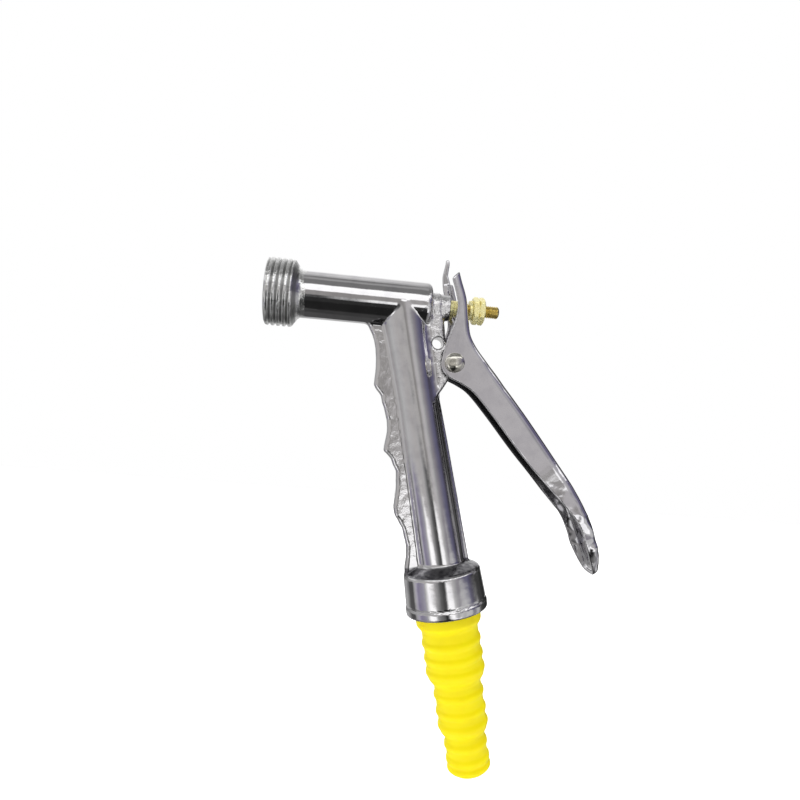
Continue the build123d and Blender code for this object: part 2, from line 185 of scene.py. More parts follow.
def gradient(f, p, e=0.03):
    g = np.empty_like(p)
    for i in range(3):
        d = np.zeros(3); d[i] = e
        a, b = p + d, p - d
        g[:, i] = (f(a[:, 0], a[:, 1], a[:, 2]) - f(b[:, 0], b[:, 1], b[:, 2])) / (2 * e)
    return g


def solid(name, f, lo, hi, h):
    """Mesh of the zero surface of f, each vertex moved onto the surface itself."""
    n = [int((hi[i] - lo[i]) / h) + 2 for i in range(3)]
    ax = [lo[i] + h * np.arange(n[i]) for i in range(3)]
    d = f(ax[0][:, None, None], ax[1][None, :, None], ax[2][None, None, :])
    d = np.clip(np.broadcast_to(d, n), -3 * h, 3 * h).astype(np.float32)
    grid = openvdb.FloatGrid(float(3 * h))
    grid.copyFromArray(np.ascontiguousarray(d))
    pts, quads = grid.convertToQuads(isovalue=0.0)
    p = np.asarray(pts, float) * h + np.array(lo, float)
    p0 = p.copy()
    for _ in range(4):
        v = f(p[:, 0], p[:, 1], p[:, 2])
        g = gradient(f, p)
        s = v / np.maximum((g ** 2).sum(1), 0.25)
        step = g * s[:, None]
        ln = np.linalg.norm(step, axis=1)
        step *= np.minimum(1.0, 0.4 * h / np.maximum(ln, 1e-9))[:, None]
        p = p - step
    far = np.linalg.norm(p - p0, axis=1) > 1.2 * h
    p[far] = p0[far]
    g = gradient(f, p)
    g /= np.maximum(np.linalg.norm(g, axis=1), 1e-9)[:, None]
    q = np.asarray(quads, int)
    a, b, c = p[q[:, 0]], p[q[:, 1]], p[q[:, 2]]
    fn = np.cross(b - a, c - a)
    if (fn * g[q[:, 0]]).sum() < 0:
        q = q[:, ::-1]
    return mesh_from(name, p, q, normals=g)


# ---------------------------------------------------------------- cast body
RIB_EDGE = curve([
    (38.6, -5.5), (41.2, -10.5), (43.8, -15.6), (45.1, -22.0), (45.4, -28.5), (45.2, -33.2), (46.6, -35.5), (48.4, -37.7), (49.0, -40.1),
    (50.0, -42.4), (51.1, -45.9), (51.7, -48.2), (52.0, -51.8), (51.6, -55.4), (51.3, -59.0), (52.3, -60.2), (54.5, -62.4), (55.5, -64.7),
    (56.9, -67.0), (57.2, -70.5), (57.5, -74.1), (57.1, -80.1), (57.3, -82.5), (58.0, -84.8), (58.9, -85.9), (60.3, -88.2), (61.2, -89.4),
    (62.3, -92.9), (63.4, -96.4), (63.8, -101.1), (63.6, -104.7), (64.0, -108.6)], per=2)
RIB_POLY = np.vstack([[(50.0, -2.0)], RIB_EDGE, [(76.0, -106.5), (62.0, -50.0)]])
BACK_RIB = [(22, 3), (29, 8.0), (39, 8.75), (56, 9.55), (76, 10.3), (92, 10.9), (108, 11.6), (108, 3)]
EAR = [(62.5, -6.0), (66.5, -2.0), (70.9, -3.0), (71.6, -8.5), (72.6, -14.0), (75.2, -16.8), (79.4, -18.2), (81.0, -20.6), (81.1, -24.0),
       (79.2, -26.8), (75.3, -28.4), (71.8, -34.6), (70.0, -38.6), (62.5, -38.0)]
T_GRIP, R_GRIP = table([0, 6, 14, 40, 109.6], [9.42, 9.25, 8.70, 8.15, 9.4], 2.0)
_, O_GRIP = table([0, 14, 40, 109.6], [-0.8, -0.7, -0.35, 0.6], 2.0)
T_COL, R_COL = table([102.6, 104.6, 107.0, 107.6, 108.2, 119.2, 119.75, 120.2, 120.6, 122.9, 123.6],
                     [7.2, 9.2, 14.4, 15.1, 15.45, 16.08, 15.85, 16.15, 16.42, 16.42, 16.15], 0.14)
SLOPE_COL = 1 / np.sqrt(1 + np.gradient(R_COL, T_COL) ** 2)


def body_f(x, y, z):
    rb = np.sqrt(y * y + z * z)
    qx, qr = np.abs(x - 32.7) - 30.5, rb - 7.2
    barrel = np.minimum(np.maximum(qx, qr), 0) + np.sqrt(np.maximum(qx, 0) ** 2 + np.maximum(qr, 0) ** 2) - 2.2
    boss = smax(rb - 5.25, x - 73.0, 0.6)
    ring = smax(smax(rb - 5.75, x - 68.9, 0.7), 60.0 - x, 0.5)
    d = smin(barrel, smin(boss, ring, 0.5), 1.0)
    t = (x - GRIP_X) * GD[0] + z * GD[1]
    n = (x - GRIP_X) * GN[0] + z * GN[1]
    grip = np.sqrt((n - np.interp(t, T_GRIP, O_GRIP)) ** 2 + y * y) - np.interp(t, T_GRIP, R_GRIP)
    grip = smax(smax(grip, -t, 0.6), t - 109.5, 0.5)
    d = smin(d, grip, 0.35)
    rg = np.sqrt(n * n + y * y)
    collar = (rg - np.interp(t, T_COL, R_COL)) * np.interp(t, T_COL, SLOPE_COL)
    collar = smax(smax(collar, t - 123.6, 0.5), 103.0 - t, 0.3)
    rib2 = poly2(x, z, RIB_POLY)
    rib = smax(rib2, np.abs(y) - 2.7, 1.7)
    d = smin(d, rib, 1.3)
    back = smax(poly2(t, n, BACK_RIB), np.abs(y) - 1.25, 0.9)
    d = smin(d, back, 1.1)
    ear2 = poly2(x, z, EAR)
    ear = smax(ear2 + 0.15, np.abs(y) - 4.95, 2.6)
    d = smin(d, ear, 1.7)
    d = smin(d, collar, 0.7)
    # rough casting round the ear, gentle unevenness elsewhere
    rough = np.clip(1.2 - np.maximum(ear2, 0) / 3.0, 0, 1) * np.clip((2.0 - z) / 6.0, 0.12, 1)
    rough = rough * np.maximum(np.clip(grip / 1.2, 0, 1), np.clip((z + 6.0) / 3.0, 0, 1))
    rough = np.maximum(rough, 0.45 * np.clip(grip / 1.2, 0, 1) * np.clip(-n / 4.0, 0, 1) * np.clip((-9.5 - z) / 2.0, 0, 1) * np.clip((103.0 - t) / 3.0, 0, 1))
    rough = np.maximum(rough, 0.22 * np.clip((x - 60.0) / 4.0, 0, 1) * np.clip((z + 12) / 6.0, 0, 1))
    flat = np.clip((np.abs(y) - 4.6) * 3.0, 0, 1) * np.clip((6.5 - np.sqrt((x - PIVOT[0]) ** 2 + (z - PIVOT[1]) ** 2)) / 1.5, 0, 1)
    d = d + 0.016 * wobble(CAST, x, y, z) + 0.055 * rough * (1 - flat) * wobble(LUMP, x, y, z)
    # bores
    d = smax(d, -np.maximum(np.maximum(rb - 6.8, 9.0 - x), x - 62.5), 0.2)
    d = smax(d, -np.maximum(rb - 3.3, 60.0 - x), 0.25)
    d = smax(d, -np.maximum(rg - 5.5, 1.5 - t), 0.2)
    d = smax(d, -np.maximum(rg - 13.4, 110.4 - t), 0.5)
    d = smax(d, -(np.sqrt((x - PIVOT[0]) ** 2 + (z - PIVOT[1]) ** 2) - 2.0), 0.2)
    d = smax(d, -(np.sqrt((x - 69.1) ** 2 + (z + 14.9) ** 2) - 2.2), 1.4)
    return smax(d, 11.0 - x, 0.1)


body = solid("nozzle_casting", body_f, (9.5, -17.6, -126.5), (100.0, 17.6, 11.0), 0.55)


# ------------------------------------------------------------------- lathes
def rounded(prof, r=0.25, n=3):
    """A closed profile with each corner filleted by r."""
    out = []
    m = len(prof)
    for i in range(m):
        p0, p1, p2 = (np.array(prof[(i + k) % m], float) for k in (-1, 0, 1))
        a, b = p0 - p1, p2 - p1
        la, lb = np.linalg.norm(a), np.linalg.norm(b)
        cosang = np.clip(a @ b / (la * lb), -1, 1)
        half = np.arccos(cosang) / 2
        cut = min(r / max(tan(half), 1e-3), 0.42 * la, 0.42 * lb)
        if half > radians(86):
            out.append(p1)
            continue
        s, e = p1 + a / la * cut, p1 + b / lb * cut
        for k in range(n + 1):
            u = k / n
            out.append((1 - u) ** 2 * s + 2 * u * (1 - u) * p1 + u * u * e)
    return out


def lathe(name, prof, nu, place, closed=True, radius=None, angle=40):
    """Revolves (along, r) points.  place(along, r cos, r sin) gives the point in mm."""
    prof = np.asarray(prof, float)
    th = np.linspace(0, 2 * pi, nu, endpoint=False)
    a = np.repeat(prof[:, 0][:, None], nu, 1)
    r = np.repeat(prof[:, 1][:, None], nu, 1)
    if radius is not None:
        a, r = radius(a, r, np.broadcast_to(th, a.shape))
    v = place(a, r * np.cos(th), r * np.sin(th)).reshape(-1, 3)
    faces = []
    m = len(prof)
    rows = m if closed else m - 1
    j = np.arange(nu)
    for i in range(rows):
        k = (i + 1) % m
        faces.append(np.stack([i * nu + j, k * nu + j, k * nu + (j + 1) % nu, i * nu + (j + 1) % nu], 1))
    faces = np.vstack(faces)
    p, q = v[faces[:, 0]], v[faces[:, 1]]
    s = v[faces[:, 3]]
    vol = np.einsum("ij,ij->i", p, np.cross(q, v[faces[:, 2]])).sum() + np.einsum("ij,ij->i", p, np.cross(v[faces[:, 2]], s)).sum()
    if vol < 0:
        faces = faces[:, ::-1]
    return mesh_from(name, v, faces, smooth_angle=angle)


def on_barrel(a, c, s):
    return np.stack([a, c, s], -1)


def on_grip(a, c, s):
    return np.stack([GRIP_X + GD[0] * a + GN[0] * c, s, GD[1] * a + GN[1] * c], -1)


def on_pivot(a, c, s):
    return np.stack([PIVOT[0] + c, a, PIVOT[1] + s], -1)


# threaded outlet head: one soft cast thread wound round the outside
PITCH = 2.209
xs = np.concatenate([np.linspace(0.0, 10.6, 97), np.linspace(10.8, 15.6, 30)])
T_HD, R_HD = table([-1, 0.0, 10.35, 12.75, 13.7, 20], [13.3, 13.3, 13.3, 10.0, 9.42, 9.36], 0.12)
head_prof = [(0.45, 10.05), (0.12, 10.35), (0.0, 10.8), (0.0, 11.6)] + [(x, -1.0) for x in xs] + [
    (15.6, 9.1), (15.4, 8.2), (11.2, 8.2), (11.0, 7.9), (11.0, 6.8), (9.1, 6.8), (9.0, 6.9), (9.0, 9.9), (8.9, 10.0), (4.6, 10.0)]


def head_radius(a, r, th):
    ridge = ((a - 0.42) / PITCH + th / (2 * pi)) % 1.0
    tri = 1 - 2 * np.abs(ridge - 0.5)                   # 1 on the root, 0 on the crest
    tooth = (0.5 - 0.5 * np.cos(pi * np.clip((tri - 0.26) / 0.70, 0, 1))) ** 1.3
    fade = np.clip((a - 0.35) / 0.7, 0, 1) * np.clip((10.3 - a) / 0.8, 0, 1)
    out = np.interp(a, T_HD, R_HD) + 0.13 * fade - 0.86 * tooth * fade
    out = out - np.clip((0.55 - a) / 0.55, 0, 1) ** 2 * 0.75
    uneven = 0.050 * wobble(LUMP, a * 1.6, 11 * np.cos(th), 11 * np.sin(th)) * np.clip((11.5 - a) / 1.5, 0, 1)
    out = np.minimum(out + uneven, 13.44)
    return a, np.where(r < 0, out, r)


head = lathe("outlet_head", head_prof, 288, on_barrel, radius=head_radius, angle=60)

# hose tail: moulded steps and soft ribs
TAIL = [(112.9, 12.9), (113.6, 13.3), (123.3, 13.3), (123.5, 13.1), (128.2, 13.1), (130.6, 11.3)]


def add_ribs(centres, r, valley, land=0.55, flank=1.75):
    for c in centres:
        TAIL.extend([(c - flank, r - valley), (c - land, r), (c + land, r), (c + flank, r - valley)])


add_ribs((135.8, 141.7, 147.2), 11.98, 0.62)
TAIL += [(150.0, 11.2), (152.6, 9.45)]
add_ribs((156.8, 163.4, 168.9), 10.18, 0.68)
TAIL += [(171.4, 9.4), (173.4, 7.95)]
add_ribs((176.8, 182.7), 8.76, 0.66)
TAIL += [(184.7, 8.15), (185.6, 8.72), (186.7, 8.72), (187.6, 7.85), (188.2, 7.0), (188.6, 6.2)]
T_TL, R_TL = table([p[0] for p in TAIL], [p[1] for p in TAIL], 0.42)
tl = np.concatenate([np.linspace(113.2, 130, 60), np.linspace(130.15, 188.35, 250)])
tail_prof = [(t, float(np.interp(t, T_TL, R_TL))) for t in tl] + [
    (188.6, 6.1), (188.74, 5.8), (188.7, 5.45), (188.4, 5.2), (185.0, 5.2), (170, 5.2), (150, 5.2), (130, 5.2), (113.4, 5.2), (113.1, 5.5), (113.0, 12.6)]


def tail_radius(a, r, th):
    inside = r < 5.9
    seam = 0.05 * np.exp(-((np.sin(th)) / 0.035) ** 2) * (np.cos(th) != 0)
    uneven = 0.05 * wobble(CAST, a * 2.2, 10 * np.cos(th), 10 * np.sin(th))
    r = np.where(inside, r, r + seam * np.clip((a - 126) / 3, 0, 1) + uneven * np.clip((a - 124) / 4, 0, 1))
    return a, np.where(inside, r, np.minimum(r, 13.34))


tail = lathe("hose_tail", tail_prof, 176, on_grip, radius=tail_radius, angle=50)

# valve stem with its rolled thread
SP = 0.80
sx = np.linspace(76.2, 92.4, 244)
stem_prof = [(6.25, 0.02), (6.2, 0.6), (6.2, 1.4), (6.35, 1.5), (12.6, 1.5), (12.6, 1.9), (12.75, 2.0), (34.5, 2.0), (34.6, 1.9), (34.6, 1.5),
             (35.4, 1.5), (35.4, 1.9), (35.5, 2.0), (38.6, 2.0), (39.4, 2.5), (50, 2.5), (60, 2.5), (70, 2.5), (75.6, 2.5)]
stem_prof += [(x, 2.5) for x in sx] + [(92.7, 2.36), (93.0, 2.1), (93.25, 1.7), (93.4, 1.2), (93.47, 0.6), (93.48, 0.02)]


def stem_radius(a, r, th):
    ph = (a / SP - th / (2 * pi)) % 1.0
    groove = 0.5 - 0.5 * np.cos(2 * pi * ph)
    on = np.clip((a - 76.3) / 0.6, 0, 1) * np.clip((92.5 - a) / 0.5, 0, 1)
    return a, r - 0.30 * groove ** 0.8 * on * (r > 2.2)


stem = lathe("valve_stem", stem_prof, 72, on_barrel, closed=False, radius=stem_radius, angle=60)


def hex_nut(name, x0, x1, front_cone, rear_cone, turn=0.0, bore=2.56, af=10.0):
    """Hexagonal nut, flats towards +-Y, corners turned off by a shallow cone at each end."""
    nu = 192
    mid = list(np.linspace(x0 + 0.75, x1 - 0.75, 4)) if x1 - x0 > 1.7 else [(x0 + x1) / 2]
    ends = [0.0, 0.06, 0.14, 0.24, 0.36, 0.5, 0.64]
    prof = [(x0 + 0.3, bore, 0), (x0 + 0.05, bore + 0.22, 0), (x0, bore + 0.4, 0), (x0, 3.9, 0), (x0, front_cone - 0.12, 0)]
    prof += [(x0 + e, front_cone + e * 1.75, 1) for e in ends] + [(x, 9.0, 1) for x in mid]
    prof += [(x1 - e, rear_cone + e * 1.75, 1) for e in ends[::-1]]
    prof += [(x1, rear_cone - 0.12, 0), (x1, 3.9, 0), (x1, bore + 0.4, 0), (x1 - 0.05, bore + 0.22, 0), (x1 - 0.3, bore, 0)]
    side = np.array([p[2] for p in prof])[:, None]

    def rad(a, r, th):
        w = (th - turn + pi / 6) % (pi / 3) - pi / 6
        hx = af / 2 / np.cos(w)
        hx = smin(hx, np.full_like(hx, 5.70), 0.16)
        lim = np.where(side > 0, np.minimum(r, hx), r)
        return a, lim
    return lathe(name, [(p[0], p[1]) for p in prof], nu, on_barrel, radius=rad, angle=28)


nut_a = hex_nut("adjusting_nut_brass", 82.42, 84.78, 4.95, 4.95)
nut_b = hex_nut("lock_nut_brass", 84.84, 87.18, 4.95, 4.75)
thrust = lathe("thrust_washer_brass", rounded([(81.02, 2.58), (81.02, 3.98), (82.38, 3.98), (82.38, 2.58)], 0.22, 3), 96, on_barrel)

# gland bush showing at the back of the boss
gland = lathe("gland_bush_brass", rounded([
    (61.2, 2.56), (61.2, 6.2), (62.5, 6.2), (62.5, 3.28), (74.6, 3.28), (74.75, 3.05), (75.0, 3.05), (75.15, 3.28), (76.3, 3.28), (76.3, 2.56)],
    0.12, 2), 96, on_barrel)

# outlet seat with its key notches is left as the CAD made it; the rivet is closed by hand, so its heads are uneven
RV = waves(5, 3.0, 6.0)
dome = [(0.0, 4.0)]
for k in range(1, 19):
    f = k / 18 * pi / 2
    dome.append((0.42 + 2.12 * sin(f) ** 0.94, max(3.98 * cos(f) ** 0.86, 0.02)))
rv_prof = [(-a - 7.62, r) for a, r in dome[::-1]] + [(-7.62, 2.1), (-7.5, 1.99), (0, 1.99), (7.5, 1.99), (7.62, 2.1)] + [(a + 7.62, r) for a, r in dome]


def rivet_radius(a, r, th):
    out = np.clip((np.abs(a) - 7.7) / 1.2, 0, 1)
    b = wobble(RV, r * np.cos(th), a, r * np.sin(th))
    flatn = 0.22 * np.clip(np.cos(th + 0.7), 0, 1) * out * np.clip(r / 3, 0, 1)
    return np.clip(a - np.sign(a) * out * (0.10 * (b + 1.0) + flatn), -10.2, 10.2), np.clip(r * (1 + 0.02 * b * out), 0, 4.0)


rivet = lathe("pivot_rivet_peened", rv_prof, 96, on_pivot, closed=False, radius=rivet_radius, angle=50)

# -------------------------------------------------------------------- lever
ST = [
    ((69.2, 21.2), (72.9, 21.2), 7.5), ((72.2, 11.2), (76.2, 11.2), 7.5), ((74.2, 5.4), (78.4, 5.4), 7.5), ((75.3, 0.6), (79.7, 0.6), 7.5),
    ((74.9, -4.6), (80.5, -4.6), 7.5), ((73.2, -10.4), (81.6, -10.4), 7.5), ((71.9, -15.0), (84.2, -15.0), 7.5),
    ((71.0, -19.8), (88.2, -19.8), 7.5), ((70.9, -24.6), (92.6, -24.6), 7.5), ((74.0, -28.2), (95.4, -27.9), 7.5),
    ((79.5, -30.6), (97.2, -30.1), 7.5), ((84.9, -33.9), (98.9, -32.0), 7.5), ((93.3, -42.7), (101.9, -35.5), 7.5),
    ((105.0, -56.0), (113.5, -49.5), 7.7), ((118.1, -69.5), (124.9, -64.4), 8.5), ((124.6, -76.0), (130.3, -72.5), 9.5),
    ((128.9, -80.8), (133.8, -79.0), 10.9), ((131.9, -86.0), (136.6, -85.4), 11.4), ((134.6, -93.4), (139.1, -92.4), 10.4),
    ((137.6, -99.4), (140.8, -98.2), 7.7), ((139.8, -103.4), (141.2, -102.4), 2.9)]
F_PTS = curve([s[0] for s in ST], 5)
B_PTS = curve([s[1] for s in ST], 5)
FRONT_POLY = np.vstack([[(66.5, 30.0)], F_PTS, [(141.0, -106.0), (190, -106), (190, 30)]])
BACK_POLY = np.vstack([[(70.0, 30.0)], B_PTS, [(142.0, -106.0), (20, -140), (20, 30)]])
MID = curve([((a[0] + b[0]) / 2, (a[1] + b[1]) / 2) for a, b, _ in ST] + [(140.9, -104.6)], 10)
W_TAB = np.interp(np.arange(len(MID)) / 10.0, [0, 13, 13.55, 13.9, 14.4, 15, 16, 17, 18, 19, 20, 21], [7.5, 7.5, 7.6, 9.4, 10.3, 10.7, 11.2, 11.3, 10.4, 8.0, 4.8, 3.0])
K_TAB = np.interp(np.arange(len(MID)) / 10.0, [0, 8, 10, 13, 14, 15, 16, 18, 21], [2.6, 2.8, 3.7, 3.8, 3.6, 3.2, 3.2, 3.4, 2.6])
_ker = np.exp(-0.5 * (np.arange(-12, 13) / 1.6) ** 2); _ker /= _ker.sum()
W_TAB = np.convolve(np.pad(W_TAB, 12, mode="edge"), _ker, mode="valid")
# even map over the plane of distance along the lever, for its width and bend radius
mx, mz = np.arange(60.0, 150.0, 0.5), np.arange(-112.0, 32.0, 0.5)


def plane_map():
    gx, gz = np.meshgrid(mx, mz, indexing="ij")
    best = np.full(gx.shape, 1e9); idx = np.zeros(gx.shape)
    seg = MID[1:] - MID[:-1]
    for i, (p, s) in enumerate(zip(MID[:-1], seg)):
        u = np.clip(((gx - p[0]) * s[0] + (gz - p[1]) * s[1]) / (s @ s), 0, 1)
        d = (gx - p[0] - u * s[0]) ** 2 + (gz - p[1] - u * s[1]) ** 2
        m = d < best
        best = np.where(m, d, best); idx = np.where(m, i + u, idx)
    return idx


IDX = plane_map()
for _ in range(6):
    IDX[1:-1, 1:-1] = (IDX[1:-1, 1:-1] + IDX[:-2, 1:-1] + IDX[2:, 1:-1] + IDX[1:-1, :-2] + IDX[1:-1, 2:]) / 5


def along(x, z):
    fx = np.clip((x - mx[0]) / 0.5, 0, len(mx) - 1.001)
    fz = np.clip((z - mz[0]) / 0.5, 0, len(mz) - 1.001)
    i, j = fx.astype(int), fz.astype(int)
    u, v = fx - i, fz - j
    return (IDX[i, j] * (1 - u) + IDX[i + 1, j] * u) * (1 - v) + (IDX[i, j + 1] * (1 - u) + IDX[i + 1, j + 1] * u) * v


NEAR_CUT = [(66, 7.6), (72.0, 10.8), (75.1, 14.2), (80, 19), (80, 30), (60, 30)]
FAR_BACK = [(84, 7.4), (78.0, 8.0), (75.4, 11.4), (73.4, 14.6), (73.0, 17.4), (73.0, 30), (84, 30)]
FAR_FRONT = [(60, 12.6), (71.1, 12.6), (71.1, 17.6), (71.3, 30), (60, 30)]


def lever_f(x, y, z):
    s = along(x, z)
    w = np.interp(s, np.arange(len(MID)), W_TAB)
    k = np.interp(s, np.arange(len(MID)), K_TAB)
    ay = np.sqrt(y * y + 0.01)
    spoon = np.clip((-66.0 - z) / 12.0, 0, 1)
    uneven = 0.022 * wobble(PRESS, x, y, z) 
    dent = 0.36 * spoon * wobble(DENT, x, y, z) + 0.10 * spoon * wobble(LUMP, x * 0.8, y * 0.8, z * 0.8)
    up, down = np.clip((22.0 - z) / 17.0, 0, 1), np.clip((z + 9.0) / 10.0, 0, 1)
    x = x + 2.5 * np.clip(y / 1.5, 0, 1) * up * up * (3 - 2 * up) * down * down * (3 - 2 * down)      # the far prong stands forward
    back = poly2(x, z, BACK_POLY)
    back = back - 0.3 * np.clip((-20.0 - z) / 20.0, 0, 1) + 0.25 * dent
    outer = smax(smax(back, ay - w + dent, k), 0.35 * x - 0.94 * z - 145.5, 2.4) + uneven
    sheet = np.abs(outer + 0.6) - 0.6
    d = smax(sheet, poly2(x, z, FRONT_POLY), 0.55)
    slot = smax(ay - 3.1, -4.6 - z, 2.2)
    d = smax(d, -slot, 0.5)
    d = smax(d, -np.maximum(poly2(x, z, NEAR_CUT), y), 0.5)
    d = smax(d, -np.maximum(poly2(x, z, FAR_BACK), -y), 0.5)
    d = smax(d, -np.maximum(poly2(x, z, FAR_FRONT), -y), 0.5)
    d = smax(d, -(np.sqrt((x - PIVOT[0]) ** 2 + (z - PIVOT[1]) ** 2) - 2.06), 0.15)
    inside = smax(smax(y - 6.15, 10.5 - z, 0.8), -y, 0.3)       # above here the far prong is its cheek alone
    d = smax(d, -inside, 0.4)
    d = smax(d, x - 141.1, 0.4)
    return smax(d, z - 21.15, 0.5)


lever = solid("squeeze_lever", lever_f, (66.0, -12.6, -106.0), (144.0, 12.6, 22.6), 0.45)


# ---------------------------------------------------------------- materials
def new_mat(name):
    m = bpy.data.materials.new(name)
    m.use_nodes = True
    nt = m.node_tree
    b = nt.nodes["Principled BSDF"]
    tc = nt.nodes.new("ShaderNodeTexCoord")
    mp = nt.nodes.new("ShaderNodeMapping")
    mp.inputs["Scale"].default_value = (1000, 1000, 1000)      # from here on in millimetres
    nt.links.new(tc.outputs["Object"], mp.inputs["Vector"])
    return m, nt, b, mp.outputs["Vector"]


def noise(nt, vec, scale, detail=2.0, rough=0.5, distortion=0.0, stretch=None):
    if stretch is not None:
        mp = nt.nodes.new("ShaderNodeMapping")
        mp.inputs["Scale"].default_value = stretch
        nt.links.new(vec, mp.inputs["Vector"])
        vec = mp.outputs["Vector"]
    n = nt.nodes.new("ShaderNodeTexNoise")
    n.inputs["Scale"].default_value = scale
    n.inputs["Detail"].default_value = detail
    n.inputs["Roughness"].default_value = rough
    n.inputs["Distortion"].default_value = distortion
    nt.links.new(vec, n.inputs["Vector"])
    return n.outputs["Fac"]


def cells(nt, vec, scale, rand=1.0):
    n = nt.nodes.new("ShaderNodeTexVoronoi")
    n.feature = "F1"
    n.inputs["Scale"].default_value = scale
    n.inputs["Randomness"].default_value = rand
    nt.links.new(vec, n.inputs["Vector"])
    return n.outputs["Distance"]


def ramp(nt, fac, stops, interp="LINEAR"):
    r = nt.nodes.new("ShaderNodeValToRGB")
    r.color_ramp.interpolation = interp
    e = r.color_ramp.elements
    while len(e) > 1:
        e.remove(e[-1])
    for i, (pos, col) in enumerate(stops):
        c = (col, col, col) if isinstance(col, (int, float)) else col
        if i == 0:
            e[0].position, e[0].color = pos, (*c, 1)
        else:
            e.new(pos).color = (*c, 1)
    nt.links.new(fac, r.inputs["Fac"])
    return r.outputs["Color"]


def remap(nt, fac, a, b, c, d, smooth=False):
    r = nt.nodes.new("ShaderNodeMapRange")
    if smooth:
        r.interpolation_type = "SMOOTHSTEP"
    for k, v in zip(("From Min", "From Max", "To Min", "To Max"), (a, b, c, d)):
        r.inputs[k].default_value = v
    nt.links.new(fac, r.inputs["Value"])
    return r.outputs["Result"]


def math(nt, op, a, b=None, c=None):
    n = nt.nodes.new("ShaderNodeMath")
    n.operation = op
    for i, v in enumerate((a, b, c)):
        if v is None:
            continue
        if isinstance(v, (int, float)):
            n.inputs[i].default_value = v
        else:
            nt.links.new(v, n.inputs[i])
    return n.outputs[0]


def mix(nt, fac, a, b, blend="MIX"):
    n = nt.nodes.new("ShaderNodeMix")
    n.data_type = "RGBA"
    n.blend_type = blend
    fac_s = next(s for s in n.inputs if s.name == "Factor" and s.type == "VALUE")
    a_s = next(s for s in n.inputs if s.name == "A" and s.type == "RGBA")
    b_s = next(s for s in n.inputs if s.name == "B" and s.type == "RGBA")
    for s, v in ((fac_s, fac), (a_s, a), (b_s, b)):
        if isinstance(v, (int, float)):
            s.default_value = v if s.type == "VALUE" else (v, v, v, 1)
        elif isinstance(v, tuple):
            s.default_value = (*v, 1)
        else:
            nt.links.new(v, s)
    return next(s for s in n.outputs if s.type == "RGBA")


def bump(nt, height, dist_mm, normal=None, strength=1.0):
    n = nt.nodes.new("ShaderNodeBump")
    n.inputs["Strength"].default_value = strength
    n.inputs["Distance"].default_value = dist_mm * MM
    nt.links.new(height, n.inputs["Height"])
    if normal is not None:
        nt.links.new(normal, n.inputs["Normal"])
    return n.outputs["Normal"]


